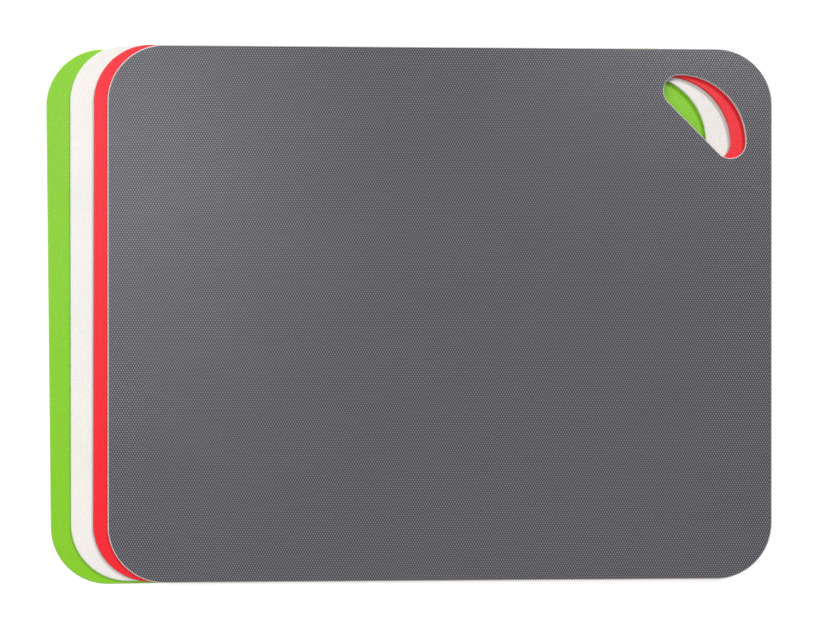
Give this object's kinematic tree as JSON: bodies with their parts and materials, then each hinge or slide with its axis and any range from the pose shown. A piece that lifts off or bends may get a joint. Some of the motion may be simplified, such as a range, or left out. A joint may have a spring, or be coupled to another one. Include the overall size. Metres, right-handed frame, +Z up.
{
  "type": "flexible cutting mat set",
  "caption": "Thin flexible chopping mats, stacked and fanned: textured sheets with rounded corners and a D-shaped corner hole to carry or hang them by; the top one curls into a chute.",
  "frame": {"origin": "under the middle of the stack's footprint, on the surface that it lies on", "axes": "+X along the mats' long side, the way the upper mats are shifted, +Y towards the edge beside the hand hole, +Z up out of the working face"},
  "size_m": [0.4172, 0.3094, 0.0048],
  "materials": {
    "green_plastic": "embossed matte polypropylene",
    "white_plastic": "embossed matte polypropylene",
    "red_plastic": "embossed matte polypropylene",
    "grey_plastic": "embossed matte polypropylene"
  },
  "bodies": {
    "green_mat": {"green_mat": "green_plastic"},
    "white_mat": {"white_mat": "white_plastic"},
    "red_mat": {"red_mat": "red_plastic"},
    "grey_mat_middle": {"grey_mat_middle": "grey_plastic"},
    "grey_mat_back_strip_1": {"grey_mat_back_strip_1": "grey_plastic"},
    "grey_mat_back_strip_2": {"grey_mat_back_strip_2": "grey_plastic"},
    "grey_mat_back_strip_3": {"grey_mat_back_strip_3": "grey_plastic"},
    "grey_mat_back_strip_4": {"grey_mat_back_strip_4": "grey_plastic"},
    "grey_mat_back_edge": {"grey_mat_back_edge": "grey_plastic"},
    "grey_mat_front_strip_1": {"grey_mat_front_strip_1": "grey_plastic"},
    "grey_mat_front_strip_2": {"grey_mat_front_strip_2": "grey_plastic"},
    "grey_mat_front_strip_3": {"grey_mat_front_strip_3": "grey_plastic"},
    "grey_mat_front_strip_4": {"grey_mat_front_strip_4": "grey_plastic"},
    "grey_mat_front_edge": {"grey_mat_front_edge": "grey_plastic"}
  },
  "joints": [
    {"name": "white_mat_lift", "type": "slide", "parent": "green_mat", "child": "white_mat", "axis": [0, 0, 1], "range_m": [0, 0.1]},
    {"name": "red_mat_lift", "type": "slide", "parent": "white_mat", "child": "red_mat", "axis": [0, 0, 1], "range_m": [0, 0.1]},
    {"name": "grey_mat_lift", "type": "slide", "parent": "red_mat", "child": "grey_mat_middle", "axis": [0, 0, 1], "range_m": [0, 0.1]},
    {"name": "grey_mat_curl", "type": "hinge", "parent": "grey_mat_middle", "child": "grey_mat_back_strip_1", "pos_m": [0.01809, 0.00953, 0.0048], "axis": [1, 0, 0], "range_deg": [0, 18], "stiffness_Nm_per_rad": 3.74},
    {"name": "grey_mat_back_bend_2", "type": "hinge", "parent": "grey_mat_back_strip_1", "child": "grey_mat_back_strip_2", "pos_m": [0.01809, 0.0286, 0.0048], "axis": [1, 0, 0], "range_deg": [0, 18], "stiffness_Nm_per_rad": 3.74},
    {"name": "grey_mat_back_bend_3", "type": "hinge", "parent": "grey_mat_back_strip_2", "child": "grey_mat_back_strip_3", "pos_m": [0.01809, 0.04766, 0.0048], "axis": [1, 0, 0], "range_deg": [0, 18], "stiffness_Nm_per_rad": 3.74},
    {"name": "grey_mat_back_bend_4", "type": "hinge", "parent": "grey_mat_back_strip_3", "child": "grey_mat_back_strip_4", "pos_m": [0.01809, 0.06673, 0.0048], "axis": [1, 0, 0], "range_deg": [0, 18], "stiffness_Nm_per_rad": 3.74},
    {"name": "grey_mat_back_bend_5", "type": "hinge", "parent": "grey_mat_back_strip_4", "child": "grey_mat_back_edge", "pos_m": [0.01809, 0.08579, 0.0048], "axis": [1, 0, 0], "range_deg": [0, 18], "stiffness_Nm_per_rad": 3.74},
    {"name": "grey_mat_front_bend_1", "type": "hinge", "parent": "grey_mat_middle", "child": "grey_mat_front_strip_1", "pos_m": [0.01809, -0.00953, 0.0048], "axis": [-1, 0, 0], "range_deg": [0, 18], "stiffness_Nm_per_rad": 3.74},
    {"name": "grey_mat_front_bend_2", "type": "hinge", "parent": "grey_mat_front_strip_1", "child": "grey_mat_front_strip_2", "pos_m": [0.01809, -0.0286, 0.0048], "axis": [-1, 0, 0], "range_deg": [0, 18], "stiffness_Nm_per_rad": 3.74},
    {"name": "grey_mat_front_bend_3", "type": "hinge", "parent": "grey_mat_front_strip_2", "child": "grey_mat_front_strip_3", "pos_m": [0.01809, -0.04766, 0.0048], "axis": [-1, 0, 0], "range_deg": [0, 18], "stiffness_Nm_per_rad": 3.74},
    {"name": "grey_mat_front_bend_4", "type": "hinge", "parent": "grey_mat_front_strip_3", "child": "grey_mat_front_strip_4", "pos_m": [0.01809, -0.06673, 0.0048], "axis": [-1, 0, 0], "range_deg": [0, 18], "stiffness_Nm_per_rad": 3.74},
    {"name": "grey_mat_front_bend_5", "type": "hinge", "parent": "grey_mat_front_strip_4", "child": "grey_mat_front_edge", "pos_m": [0.01809, -0.08579, 0.0048], "axis": [-1, 0, 0], "range_deg": [0, 18], "stiffness_Nm_per_rad": 3.74}
  ],
  "couplings": [
    {"joint": "grey_mat_back_bend_2", "follows": "grey_mat_curl", "ratio": 1},
    {"joint": "grey_mat_back_bend_3", "follows": "grey_mat_curl", "ratio": 1},
    {"joint": "grey_mat_back_bend_4", "follows": "grey_mat_curl", "ratio": 1},
    {"joint": "grey_mat_back_bend_5", "follows": "grey_mat_curl", "ratio": 1},
    {"joint": "grey_mat_front_bend_1", "follows": "grey_mat_curl", "ratio": 1},
    {"joint": "grey_mat_front_bend_2", "follows": "grey_mat_curl", "ratio": 1},
    {"joint": "grey_mat_front_bend_3", "follows": "grey_mat_curl", "ratio": 1},
    {"joint": "grey_mat_front_bend_4", "follows": "grey_mat_curl", "ratio": 1},
    {"joint": "grey_mat_front_bend_5", "follows": "grey_mat_curl", "ratio": 1}
  ]
}
